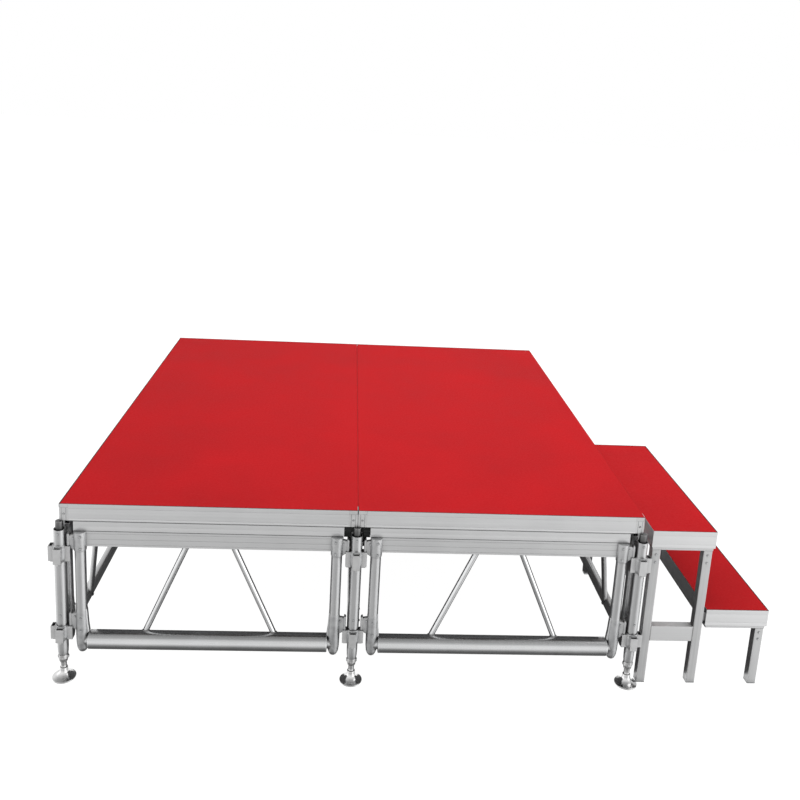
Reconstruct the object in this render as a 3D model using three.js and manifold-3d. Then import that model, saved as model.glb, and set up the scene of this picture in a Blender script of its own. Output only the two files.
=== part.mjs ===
// Portable stage riser, 2.44 m square and 0.8 m high, with a free-standing two-tread stair at its right side.
// Two red deck panels lie on truss frames, the frames hook into pockets on six tubular legs,
// and every leg stands on a screw jack. Millimetres, +Z up, +X to the stair side, front at -Y.
import * as THREE from "three";
import { mergeVertices } from "three/addons/utils/BufferGeometryUtils.js";
import Module from "manifold-3d";

const wasm = await Module();
wasm.setup();

// ---- driving dimensions ----
const BAY = 1220; // leg grid across the front, and one deck panel's width
const LENGTH = 2440; // leg grid front to back, and a deck panel's length
const DECK_TOP = 800; // height of the walking surface at the lowest jack setting
const FIT = 0.3; // gap left between touching pieces

const BOARD_T = 15; // deck board
const EDGE_H = 75; // deck edge profile, upper band
const EDGE_WALL = 5;
const LIP = 2; // thin top of the profile beside the board
const SHELF = 38; // how far the profile's shelf and flange reach inward
const SKIRT_H = 42; // lower band of the edge profile, which stands on the frame rail
const SKIRT_D = 25;
const SKIRT_CUT = 55; // the lower band stops this far from a leg axis
const GROOVE = 3; // shadow groove between the two bands
const CASTING = 38; // corner casting, square
const BEAM_Y = [-407, 407]; // cross beams under each board
const BEAM_W = 40;
const SEAM = 0.5; // half the gap between the two panels

const TUBE_R = 24; // leg tube
const LOWER_R = 22.5; // leg tube below the lower connector
const BORE_R = 12.8; // guides the jack spindle
const MOUTH_R = 20.5; // bore above the guide, open at the top
const GUIDE_TOP = 300;
const TUBE_BOTTOM = 113;
const TUBE_TOP = 690;
const PIN_R = 16; // locating pin on the leg's head, under the corner castings
const POCKETS = [
  { z0: 190, z1: 250 },
  { z0: 550, z1: 618 },
];
const POCKET_REACH = 45; // outer face of a pocket, from the leg axis
const POCKET_W = 32;
const SLOT = { in: 30.5, out: 41, w: 23 };

const SPINDLE_R = 12.5;
const NUT_BORE_R = 13.5; // clear of the spindle's corners as the nut turns
const SPINDLE_TOP = 290;
const NUT_Z = 78; // bottom of the jack nut
const FOOT_R = 49;
const FOOT_H = 50;
const SOCKET_Z = 24; // bottom of the spindle's socket in the foot

const POST_AT = 82; // frame end post, from the leg axis
const POST_R = 22.5;
const POST_LOW = 130;
const SLEEVE_R = 25.5; // cast sleeve at each end of a post
const RAIL = { z0: 613, z1: 680, out: 2, in: 34 }; // out of and into the stage, from the leg grid plane
const CHORD_Z = 182;
const CHORD_R = 39; // in the front and back frames
const CHORD_END = 24; // its swaged ends, inside the posts' sleeves
const LONG_CHORD_R = 24; // in the long frames, a plain tube
const BRACE_R = 12.5;
const BRACE_FOOT = 279; // from the bay's middle, on the chord axis
const BRACE_HEAD = 89; // from the bay's middle, inside the rail
const TONGUE = { in: 31, out: 40.5, w: 22 };
const HOOKS = [
  { tip: 200, rest: 250, top: 312 },
  { tip: 560, rest: 618, top: 672 },
];

const STAIR_X = 1264; // inner edge of the upper tread, from the stage's middle
const TREAD_W = 280;
const TREAD_L = 920;
const TREAD_H = 78;
const UPPER_TOP = 740;
const LOWER_TOP = 370;
const LOWER_X = STAIR_X + TREAD_W + 1;
const UNDER_H = 14; // recessed under-frame of a tread
const UNDER_IN = 6;
const STAIR_LEG = 38;
const STAIR_RAIL = { z0: 208, z1: 280 };
const CAP_H = 5;

// The origin is the middle of the whole footprint, so the stage's own middle lies left of it.
const RIGHT_END = LOWER_X + TREAD_W;
const STAGE_X = (BAY + FOOT_R - RIGHT_END) / 2;

const SIDES = 12; // of a round tube

// ---- materials ----
const FINISH = {
  aluminium: { color: 0xc3c7ca, roughness: 0.38, metalness: 1 },
  steel: { color: 0xa9adb0, roughness: 0.35, metalness: 1 },
  chrome: { color: 0xdadcde, roughness: 0.12, metalness: 1 },
  red: { color: 0xc0222a, roughness: 0.8, metalness: 0 },
  cap: { color: 0x9a9da0, roughness: 0.6, metalness: 0 },
};

const stage = new THREE.Group();
stage.name = "stage_riser";

// ---- solids ----
function solid(geometry) {
  const g = geometry.clone();
  g.deleteAttribute("normal");
  g.deleteAttribute("uv");
  const merged = mergeVertices(g, 1e-4);
  return new wasm.Manifold(
    new wasm.Mesh({
      numProp: 3,
      vertProperties: new Float32Array(merged.attributes.position.array),
      triVerts: new Uint32Array(merged.index.array),
    }),
  );
}

function box(x0, x1, y0, y1, z0, z1) {
  const g = new THREE.BoxGeometry(x1 - x0, y1 - y0, z1 - z0);
  return solid(g.translate((x0 + x1) / 2, (y0 + y1) / 2, (z0 + z1) / 2));
}

// A solid of revolution about Z from [radius, height] pairs that run up the outside and end on the axis.
function turned(profile, sides = SIDES) {
  const points = profile.map(([r, z]) => new THREE.Vector2(r, z));
  return solid(new THREE.LatheGeometry(points, sides).rotateX(Math.PI / 2).rotateZ(Math.PI / sides));
}

// A round bar between two points.
function bar(from, to, radius, sides) {
  const axis = new THREE.Vector3().subVectors(to, from);
  const g = new THREE.CylinderGeometry(radius, radius, axis.length(), sides);
  const up = new THREE.Vector3(0, 1, 0);
  const turn = new THREE.Quaternion().setFromUnitVectors(up, axis.clone().normalize());
  const middle = new THREE.Vector3().addVectors(from, to).multiplyScalar(0.5);
  return solid(g.applyQuaternion(turn).translate(middle.x, middle.y, middle.z));
}

const joined = (parts) => parts.reduce((whole, part) => whole.add(part));
const cut = (whole, tools) => tools.reduce((rest, tool) => rest.subtract(tool), whole);

function add(name, manifold, finish) {
  const mesh = manifold.getMesh();
  const g = new THREE.BufferGeometry();
  g.setAttribute("position", new THREE.BufferAttribute(new Float32Array(mesh.vertProperties), 3));
  g.setIndex(new THREE.BufferAttribute(new Uint32Array(mesh.triVerts), 1));
  const flat = g.toNonIndexed();
  flat.computeVertexNormals();
  const node = new THREE.Mesh(flat, new THREE.MeshStandardMaterial(FINISH[finish]));
  node.name = name;
  node.position.x = STAGE_X;
  stage.add(node);
}

// ---- legs ----
// The cross-shaped casting that carries four pockets at one level, and the slots through it.
function crossCasting({ z0, z1 }) {
  const w = POCKET_W / 2, r = POCKET_REACH;
  return box(-r, r, -w, w, z0, z1).add(box(-w, w, -r, r, z0, z1));
}

function pocketSlots({ z0, z1 }) {
  const w = SLOT.w / 2;
  const slot = box(SLOT.in, SLOT.out, -w, w, z0 - 1, z1 + 1);
  return [0, 90, 180, 270].map((turn) => slot.rotate([0, 0, turn]));
}

function legPost() {
  const tube = turned([
    [0, TUBE_BOTTOM], [LOWER_R, TUBE_BOTTOM], [LOWER_R, POCKETS[0].z0 + 10],
    [TUBE_R, POCKETS[0].z0 + 20], [TUBE_R, TUBE_TOP], [0, TUBE_TOP],
  ]);
  const guide = turned([[0, 100], [BORE_R, 100], [BORE_R, GUIDE_TOP + 5], [0, GUIDE_TOP + 5]]);
  const mouth = turned([[0, GUIDE_TOP], [MOUTH_R, GUIDE_TOP], [MOUTH_R, TUBE_TOP + 5], [0, TUBE_TOP + 5]]);
  const whole = joined([tube, ...POCKETS.map(crossCasting)]);
  const open = cut(whole, [guide, mouth, ...POCKETS.flatMap(pocketSlots)]);
  // the pin's flange closes the tube's bore below its open end
  const pinTop = DECK_TOP - EDGE_H - FIT;
  const pin = turned([
    [0, 645], [MOUTH_R + 1.5, 645], [MOUTH_R + 1.5, 660], [PIN_R, 660], [PIN_R, pinTop], [0, pinTop],
  ]);
  return open.add(pin);
}

function jackNut() {
  const top = TUBE_BOTTOM - FIT;
  const body = turned([[0, NUT_Z], [16.5, NUT_Z], [20, NUT_Z + 10], [20, top], [0, top]]);
  const ears = [box(-23, 23, -6, 6, NUT_Z + 16, NUT_Z + 30), box(-6, 6, -23, 23, NUT_Z + 16, NUT_Z + 30)];
  const bore = turned([[0, 0], [NUT_BORE_R, 0], [NUT_BORE_R, 200], [0, 200]]);
  return cut(joined([body, ...ears]), [bore]);
}

const spindle = () =>
  turned([[0, SOCKET_Z + FIT], [SPINDLE_R, SOCKET_Z + FIT], [SPINDLE_R, SPINDLE_TOP - 3],
    [SPINDLE_R - 3, SPINDLE_TOP], [0, SPINDLE_TOP]]);

function footPlate() {
  const dish = turned([
    [0, 0], [FOOT_R, 0], [FOOT_R, 4], [38, 12], [22, 20], [17.5, 30], [16.5, FOOT_H], [0, FOOT_H],
  ], 18);
  const socket = turned([[0, SOCKET_Z], [SPINDLE_R + FIT, SOCKET_Z], [SPINDLE_R + FIT, 60], [0, 60]]);
  return dish.subtract(socket);
}

const LEGS = [
  { name: "front_left", x: -BAY, y: -LENGTH / 2 },
  { name: "front_middle", x: 0, y: -LENGTH / 2 },
  { name: "front_right", x: BAY, y: -LENGTH / 2 },
  { name: "back_left", x: -BAY, y: LENGTH / 2 },
  { name: "back_middle", x: 0, y: LENGTH / 2 },
  { name: "back_right", x: BAY, y: LENGTH / 2 },
];
for (const { name, x, y } of LEGS) {
  add(`leg_${name}_post`, legPost().translate([x, y, 0]), "aluminium");
  add(`leg_${name}_jack_nut`, jackNut().translate([x, y, 0]), "steel");
  add(`leg_${name}_spindle`, spindle().translate([x, y, 0]), "steel");
  add(`leg_${name}_foot`, footPlate().translate([x, y, 0]), "chrome");
}

// ---- truss frames ----
// A thick bottom tube with swaged ends, standing along Z.
function swagedChord(span) {
  const neck = POST_AT + 26, full = POST_AT + 32;
  return turned([
    [0, POST_AT], [CHORD_END, POST_AT], [CHORD_END, neck], [CHORD_R, full], [CHORD_R, span - full],
    [CHORD_END, span - neck], [CHORD_END, span - POST_AT], [0, span - POST_AT],
  ]);
}

const plainChord = (span) =>
  turned([[0, POST_AT], [LONG_CHORD_R, POST_AT], [LONG_CHORD_R, span - POST_AT], [0, span - POST_AT]]);

// A welded frame between two legs, drawn along X from the first leg's axis, with the stage's inside at +Y.
function trussFrame(span, bays, rail, chord) {
  const parts = [];
  for (const mirror of [false, true]) {
    const at = (u) => (mirror ? span - u : u);
    const across = (u0, u1, y0, y1, z0, z1) =>
      box(Math.min(at(u0), at(u1)), Math.max(at(u0), at(u1)), y0, y1, z0, z1);
    const post = turned([
      [0, POST_LOW], [POST_R - 8, POST_LOW], [SLEEVE_R, POST_LOW + 14], [SLEEVE_R, 290],
      [POST_R, 322], [POST_R, 598], [SLEEVE_R, 601], [SLEEVE_R, RAIL.z1], [0, RAIL.z1],
    ]);
    parts.push(post.translate([at(POST_AT), 0, 0]));
    for (const hook of HOOKS) {
      const w = TONGUE.w / 2;
      parts.push(across(TONGUE.in, TONGUE.out, -w, w, hook.tip, hook.top));
      parts.push(across(TONGUE.in, POST_AT - 15, -10, 10, hook.rest + FIT, hook.top - 6));
    }
  }
  parts.push(box(POST_AT, span - POST_AT, rail.y0, rail.y1, RAIL.z0, RAIL.z1 - FIT));
  parts.push(chord(span).rotate([0, 90, 0]).translate([0, 0, CHORD_Z]));
  const y = (rail.y0 + rail.y1) / 2;
  for (let bay = 0; bay < bays; bay++) {
    const middle = (bay + 0.5) * (span / bays);
    for (const s of [-1, 1]) {
      const foot = new THREE.Vector3(middle + s * BRACE_FOOT, y, CHORD_Z + 12);
      const head = new THREE.Vector3(middle + s * BRACE_HEAD, y, RAIL.z0 + 27);
      parts.push(bar(foot, head, BRACE_R, 8));
    }
  }
  return joined(parts);
}

const outerRail = { y0: -RAIL.out, y1: RAIL.in };
const middleRail = { y0: -RAIL.in, y1: RAIL.in };
const shortFrame = () => trussFrame(BAY, 1, outerRail, swagedChord);
const half = LENGTH / 2;
for (const [side, x] of [["left", -BAY], ["right", 0]]) {
  add(`frame_front_${side}`, shortFrame().translate([x, -half, 0]), "aluminium");
  add(`frame_back_${side}`, shortFrame().rotate([0, 0, 180]).translate([x + BAY, half, 0]), "aluminium");
}
const longFrame = (rail) => trussFrame(LENGTH, 2, rail, plainChord);
add("frame_side_left", longFrame(outerRail).rotate([0, 0, -90]).translate([-BAY, half, 0]), "aluminium");
add("frame_side_middle", longFrame(middleRail).rotate([0, 0, -90]).translate([0, half, 0]), "aluminium");
add("frame_side_right", longFrame(outerRail).rotate([0, 0, 90]).translate([BAY, -half, 0]), "aluminium");

// ---- deck panels ----
const BAND_LOW = DECK_TOP - EDGE_H;
const SHELF_TOP = DECK_TOP - BOARD_T - FIT;
const SKIRT_TOP = BAND_LOW - GROOVE;

// An edge profile along X with its outer face at y = 0 and the panel at +Y.
function edgeProfile(x0, x1, skirt0, skirt1) {
  return joined([
    box(x0, x1, 0, EDGE_WALL, BAND_LOW, SHELF_TOP),
    box(x0, x1, 0, LIP, BAND_LOW, DECK_TOP),
    box(x0, x1, 0, SHELF, SHELF_TOP - EDGE_WALL, SHELF_TOP),
    box(x0, x1, 0, SHELF, BAND_LOW, BAND_LOW + EDGE_WALL),
    box(skirt0, skirt1, 6, SKIRT_D, SKIRT_TOP - 1, BAND_LOW + 1),
    box(skirt0, skirt1, 0, SKIRT_D, SKIRT_TOP - SKIRT_H + FIT, SKIRT_TOP),
  ]);
}

// A corner casting with its outer corner at the origin, reaching to +X and +Y.
const cornerCasting = () =>
  joined([
    box(0, CASTING, 0, CASTING, BAND_LOW, SHELF_TOP),
    box(0, LIP, 0, CASTING, BAND_LOW, DECK_TOP),
    box(0, CASTING, 0, LIP, BAND_LOW, DECK_TOP),
  ]);

for (const [side, x0, x1] of [["left", -BAY, -SEAM], ["right", SEAM, BAY]]) {
  const width = x1 - x0;
  const lip = LIP + FIT;
  const board = box(x0 + lip, x1 - lip, -half + lip, half - lip, DECK_TOP - BOARD_T, DECK_TOP);
  add(`deck_${side}_board`, board, "red");
  const end = joined([
    edgeProfile(CASTING - 1, width - CASTING + 1, SKIRT_CUT, width - SKIRT_CUT),
    cornerCasting(),
    cornerCasting().rotate([0, 0, 90]).translate([width, 0, 0]),
  ]);
  add(`deck_${side}_front_edge`, end.translate([x0, -half, 0]), "aluminium");
  add(`deck_${side}_back_edge`, end.rotate([0, 0, 180]).translate([x1, half, 0]), "aluminium");
  const cutAt = CASTING + FIT;
  const long = edgeProfile(cutAt, LENGTH - cutAt, SKIRT_CUT, LENGTH - SKIRT_CUT);
  add(`deck_${side}_left_edge`, long.rotate([0, 0, -90]).translate([x0, half, 0]), "aluminium");
  add(`deck_${side}_right_edge`, long.rotate([0, 0, 90]).translate([x1, -half, 0]), "aluminium");
  BEAM_Y.forEach((y, i) => {
    const reach = SHELF + FIT, wall = EDGE_WALL + FIT, low = BAND_LOW + EDGE_WALL + FIT;
    const beam = joined([
      box(x0 + reach, x1 - reach, y - BEAM_W / 2, y + BEAM_W / 2, low + 5, SHELF_TOP),
      box(x0 + wall, x1 - wall, y - BEAM_W / 2, y + BEAM_W / 2, low, SHELF_TOP - EDGE_WALL - FIT),
    ]);
    add(`deck_${side}_beam_${i + 1}`, beam, "aluminium");
  });
}

// ---- stair ----
const STAIR_Y0 = -half;
const STAIR_Y1 = STAIR_Y0 + TREAD_L;

function treadFrame(x0, top) {
  const low = top - TREAD_H, shelf = top - BOARD_T - FIT;
  // a box set in from the tread's outline by the same amount on all sides
  const inset = (by, z0, z1) => box(x0 + by, x0 + TREAD_W - by, STAIR_Y0 + by, STAIR_Y1 - by, z0, z1);
  const outer = inset(0, low, top).add(inset(UNDER_IN, low - UNDER_H, low + 1));
  return cut(outer, [inset(LIP, shelf, top + 1), inset(UNDER_IN + STAIR_LEG + 2, low - UNDER_H - 1, top)]);
}

function treadBoard(x0, top) {
  const lip = LIP + FIT;
  return box(x0 + lip, x0 + TREAD_W - lip, STAIR_Y0 + lip, STAIR_Y1 - lip, top - BOARD_T, top);
}

for (const [name, x0, top] of [["upper", STAIR_X, UPPER_TOP], ["lower", LOWER_X, LOWER_TOP]]) {
  add(`stair_${name}_tread_frame`, treadFrame(x0, top), "aluminium");
  add(`stair_${name}_tread_board`, treadBoard(x0, top), "red");
}

const LEG_IN = 8; // a leg's face, from the tread's outer edge
const innerLeg = [STAIR_X + UNDER_IN, STAIR_X + UNDER_IN + STAIR_LEG];
const outerLeg = [STAIR_X + TREAD_W - LEG_IN - STAIR_LEG, STAIR_X + TREAD_W - LEG_IN];
const lowerLeg = [RIGHT_END - LEG_IN - STAIR_LEG, RIGHT_END - LEG_IN];
const legTop = (top) => top - TREAD_H - UNDER_H - FIT;
for (const [where, y0] of [["front", STAIR_Y0 + UNDER_IN], ["back", STAIR_Y1 - UNDER_IN - STAIR_LEG]]) {
  const y1 = y0 + STAIR_LEG, foot = CAP_H + FIT;
  const side = joined([
    box(...innerLeg, y0, y1, foot, legTop(UPPER_TOP)),
    box(...outerLeg, y0, y1, foot, legTop(UPPER_TOP)),
    box(innerLeg[0] + 5, outerLeg[1] - 5, y0, y1, STAIR_RAIL.z0, STAIR_RAIL.z1),
    box(outerLeg[1] - 2, LOWER_X - FIT, y0 + 6, y1 - 6, LOWER_TOP - 62, LOWER_TOP - 20),
  ]);
  add(`stair_upper_legs_${where}`, side, "aluminium");
  add(`stair_lower_leg_${where}`, box(...lowerLeg, y0, y1, foot, legTop(LOWER_TOP)), "aluminium");
  for (const [name, span] of [["inner", innerLeg], ["outer", outerLeg], ["lower", lowerLeg]])
    add(`stair_cap_${name}_${where}`, box(...span, y0, y1, 0, CAP_H), "cap");
}

export default stage;
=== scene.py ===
import math
import random

import bmesh
import bpy
import numpy as np
from mathutils import Matrix, Vector


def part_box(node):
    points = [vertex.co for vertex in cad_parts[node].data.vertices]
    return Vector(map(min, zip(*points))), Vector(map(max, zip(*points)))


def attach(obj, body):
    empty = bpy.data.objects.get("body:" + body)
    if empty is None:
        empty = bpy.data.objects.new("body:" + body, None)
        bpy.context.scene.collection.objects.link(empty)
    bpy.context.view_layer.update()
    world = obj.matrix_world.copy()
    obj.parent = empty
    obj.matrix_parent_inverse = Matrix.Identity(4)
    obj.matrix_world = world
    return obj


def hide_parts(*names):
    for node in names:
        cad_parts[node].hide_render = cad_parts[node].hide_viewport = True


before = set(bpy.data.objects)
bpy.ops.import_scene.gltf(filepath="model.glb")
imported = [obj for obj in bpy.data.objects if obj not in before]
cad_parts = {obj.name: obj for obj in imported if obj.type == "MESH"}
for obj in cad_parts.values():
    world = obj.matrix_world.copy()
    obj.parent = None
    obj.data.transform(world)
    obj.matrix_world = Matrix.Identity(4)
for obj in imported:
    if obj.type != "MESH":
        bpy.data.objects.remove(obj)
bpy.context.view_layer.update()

SCENE = bpy.context.scene
rng = random.Random(11)

# ---------------------------------------------------------------- shapes
# A shape is (points, faces, grain). It is drawn along Z, and grain keeps (z, x, y) from before it
# is turned, so that streaks in a material run along each member.
TO_X = Matrix(((0, 0, 1, 0), (1, 0, 0, 0), (0, 1, 0, 0), (0, 0, 0, 1)))
TO_Y = Matrix(((0, 1, 0, 0), (0, 0, 1, 0), (1, 0, 0, 0), (0, 0, 0, 1)))
TURNS = {"x": TO_X, "y": TO_Y, "z": Matrix.Identity(4)}


def shape(points, faces):
    points = np.array(points, float)
    return points, faces, points[:, [2, 0, 1]]


def moved(s, matrix):
    m = np.array(matrix)
    return s[0] @ m[:3, :3].T + m[:3, 3], s[1], s[2]


def shift(x=0.0, y=0.0, z=0.0):
    return Matrix.Translation((x, y, z))


def spin(degrees, axis="Z"):
    return Matrix.Rotation(math.radians(degrees), 4, axis)


def rounded(points, radius, steps=3, closed=True):
    """A polyline with its corners eased by short arcs."""
    out = []
    for i, p in enumerate(points):
        if not closed and i in (0, len(points) - 1):
            out.append(tuple(p))
            continue
        p = Vector(p)
        u, v = Vector(points[i - 1]) - p, Vector(points[(i + 1) % len(points)]) - p
        if u.angle(v) > 3.0:
            out.append(tuple(p))
            continue
        reach = min(radius, 0.45 * u.length, 0.45 * v.length)
        a, b = p + u.normalized() * reach, p + v.normalized() * reach
        for k in range(steps + 1):
            t = k / steps
            out.append(tuple(a * (1 - t) ** 2 + p * 2 * t * (1 - t) + b * t * t))
    return out


def lathe(profile, sides=40, closed=False):
    """Turned about Z from (radius, z) pairs. An open profile begins and ends on the axis."""
    rings, points, faces = [], [], []
    turn = [(math.cos(a), math.sin(a)) for a in (2 * math.pi * i / sides for i in range(sides))]
    for r, z in profile:
        if r < 1e-7:
            rings.append([len(points)])
            points.append((0, 0, z))
        else:
            rings.append(list(range(len(points), len(points) + sides)))
            points += [(r * c, r * s, z) for c, s in turn]
    for a, b in list(zip(rings, rings[1:])) + ([(rings[-1], rings[0])] if closed else []):
        for i in range(sides):
            j = (i + 1) % sides
            if len(a) == 1:
                faces.append((a[0], b[j], b[i]))
            elif len(b) == 1:
                faces.append((a[i], a[j], b[0]))
            else:
                faces.append((a[i], a[j], b[j], b[i]))
    return shape(points, faces)


def pipe(outer, inner, z0, z1, ease=0.0008, sides=40):
    """An open-ended round tube."""
    loop = [(inner, z0), (outer, z0), (outer, z1), (inner, z1)]
    return lathe(rounded(loop, ease, 2), sides, closed=True)


def rod(radius, z0, z1, ease=0.001, sides=24):
    """A solid round bar."""
    loop = [(0, z0), (radius, z0), (radius, z1), (0, z1)]
    return lathe(rounded(loop, ease, 2, closed=False), sides)


def inset(outline, by):
    """A closed outline moved inwards by this much."""
    p = np.array(outline)
    area = np.sum(p[:, 0] * np.roll(p[:, 1], -1) - np.roll(p[:, 0], -1) * p[:, 1])
    ahead, behind = np.roll(p, -1, 0) - p, p - np.roll(p, 1, 0)
    t = ahead / np.linalg.norm(ahead, axis=1)[:, None]
    t = t + behind / np.linalg.norm(behind, axis=1)[:, None]
    t /= np.maximum(np.linalg.norm(t, axis=1)[:, None], 1e-9)
    return p + np.stack([-t[:, 1], t[:, 0]], 1) * by * np.sign(area)


def prism(outline, z0, z1, ease=0.0006):
    """Extruded along Z from a closed outline, with its end edges eased."""
    n = len(outline)
    small = inset(outline, ease)
    levels = [(small, z0), (outline, z0 + ease), (outline, z1 - ease), (small, z1)]
    points = [(x, y, z) for line, z in levels for x, y in line]
    faces = [tuple(range(n))[::-1], tuple(range(3 * n, 4 * n))]
    for k in range(3):
        ring, above = k * n, (k + 1) * n
        for i in range(n):
            j = (i + 1) % n
            faces.append((ring + i, ring + j, above + j, above + i))
    return shape(points, faces)


def hollow(outer, inner, z0, z1):
    """An open-ended tube between two outlines with as many points each."""
    n = len(outer)
    points = [(x, y, z) for z in (z0, z1) for line in (outer, inner) for x, y in line]
    faces = []
    for i in range(n):
        j = (i + 1) % n
        faces += [(i, j, 2 * n + j, 2 * n + i), (n + j, n + i, 3 * n + i, 3 * n + j)]
        faces += [(j, i, n + i, n + j), (2 * n + i, 2 * n + j, 3 * n + j, 3 * n + i)]
    return shape(points, faces)


def rectangle(x0, x1, y0, y1, radius=0.002, steps=3):
    return rounded([(x0, y0), (x1, y0), (x1, y1), (x0, y1)], radius, steps)


def block(axis, lo, hi, radius=0.0015):
    """An eased box between two corners, its grain along one axis."""
    back = TURNS[axis].inverted()
    a, b = back @ Vector(lo), back @ Vector(hi)
    x, y, z = [sorted(pair) for pair in zip(a, b)]
    return moved(prism(rectangle(*x, *y, radius), *z, radius * 0.6), TURNS[axis])


def square_tube(axis, lo, hi, wall=0.003, radius=0.003):
    """A rectangular tube, open at both ends."""
    back = TURNS[axis].inverted()
    a, b = back @ Vector(lo), back @ Vector(hi)
    (x0, x1), (y0, y1), z = [sorted(pair) for pair in zip(a, b)]
    inner = rectangle(x0 + wall, x1 - wall, y0 + wall, y1 - wall, max(radius - wall, 0.0006))
    return moved(hollow(rectangle(x0, x1, y0, y1, radius), inner, *z), TURNS[axis])


def between(p, q):
    """The matrix that lays Z from p towards q, from p on."""
    p, q = Vector(p), Vector(q)
    return Matrix.Translation(p) @ (q - p).to_track_quat("Z", "Y").to_matrix().to_4x4()


def bead(path, radius):
    """A rippled weld bead along a closed path."""
    path, sides = [Vector(p) for p in path], 7
    middle = sum(path, Vector()) / len(path)
    points, faces, n = [], [], len(path)
    for i, p in enumerate(path):
        t = (path[(i + 1) % n] - path[i - 1]).normalized()
        out = (p - middle - t * (p - middle).dot(t)).normalized()
        side = t.cross(out)
        r = radius * (1 + 0.16 * math.sin(i * 2 * math.pi * (n // 3) / n) + rng.uniform(-0.08, 0.08))
        for k in range(sides):
            a = 2 * math.pi * k / sides
            points.append(p + out * r * math.cos(a) + side * r * math.sin(a))
    for i in range(n):
        j = (i + 1) % n
        for k in range(sides):
            m = (k + 1) % sides
            faces.append((i * sides + k, j * sides + k, j * sides + m, i * sides + m))
    return shape(points, faces)


def ring_path(radius, place, n=36):
    angles = [2 * math.pi * i / n for i in range(n)]
    return [place @ Vector((radius * math.cos(a), radius * math.sin(a), 0)) for a in angles]


def bolt(at, facing, size=0.006):
    """A hexagon head on a washer; facing is the direction it points."""
    place = between(at, Vector(at) + Vector(facing)) @ spin(rng.uniform(0, 60))
    corners = [math.radians(a) for a in range(0, 360, 60)]
    hexagon = [(size * math.cos(a), size * math.sin(a)) for a in corners]
    return [
        moved(rod(size * 1.45, -0.001, 0.0012, 0.0004, 20), place),
        moved(prism(rounded(hexagon, 0.0006, 1), 0.001, 0.001 + size * 0.75, 0.0007), place),
    ]


# ---------------------------------------------------------------- materials
class Paint:
    """Short calls for building the node tree of a material or of the world."""

    def __init__(self, owner, shader="Principled BSDF"):
        self.owner = owner
        owner.use_nodes = True
        self.tree = owner.node_tree
        self.shader = self.tree.nodes[shader]

    def node(self, kind, out=0, inputs=(), **settings):
        n = self.tree.nodes.new(kind)
        for key, value in settings.items():
            setattr(n, key, value)
        for key, value in dict(inputs).items():
            if isinstance(value, bpy.types.NodeSocket):
                self.tree.links.new(value, n.inputs[key])
            else:
                n.inputs[key].default_value = value
        return n.outputs[out]

    def grain(self, along, across):
        v = self.node("ShaderNodeAttribute", "Vector", attribute_name="grain")
        return self.node("ShaderNodeMapping", inputs={"Vector": v, "Scale": (along, across, across)})

    def place(self):
        return self.node("ShaderNodeTexCoord", "Object")

    def noise(self, vector, scale=1.0, detail=4.0, rough=0.55, distortion=0.0):
        inputs = {"Vector": vector, "Scale": scale, "Detail": detail}
        inputs |= {"Roughness": rough, "Distortion": distortion}
        return self.node("ShaderNodeTexNoise", "Fac", inputs)

    def spread(self, value, low, high, to_low=0.0, to_high=1.0):
        inputs = {"Value": value, "From Min": low, "From Max": high, "To Min": to_low, "To Max": to_high}
        return self.node("ShaderNodeMapRange", "Result", inputs, clamp=True)

    def maths(self, operation, a, b):
        return self.node("ShaderNodeMath", 0, {0: a, 1: b}, operation=operation)

    def mix(self, factor, a, b):
        return self.node("ShaderNodeMix", 2, {0: factor, 6: a, 7: b}, data_type="RGBA")

    def set(self, **inputs):
        for key, value in inputs.items():
            key = key.replace("_", " ")
            if isinstance(value, bpy.types.NodeSocket):
                self.tree.links.new(value, self.shader.inputs[key])
            else:
                self.shader.inputs[key].default_value = value

    def bump(self, height, strength, distance, under=None):
        inputs = {"Height": height, "Strength": strength, "Distance": distance}
        if under is not None:
            inputs["Normal"] = under
        return self.node("ShaderNodeBump", 0, inputs)

    # painted shade: a mask for darkening colour where ambient occlusion finds surfaces close by
    def crevice_shade(self, distance):
        return self.node("ShaderNodeAmbientOcclusion", "AO", {"Distance": distance}, samples=6)

    # painted highlight: a mask that is high on sharp, convex edges, for paler colour there
    def edge(self):
        return self.spread(self.node("ShaderNodeNewGeometry", "Pointiness"), 0.51, 0.58)


def material(name):
    return Paint(bpy.data.materials.new(name))


def grey(value, tint=0.0):
    return (value * (1 - tint), value, value * (1 + tint), 1)


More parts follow.
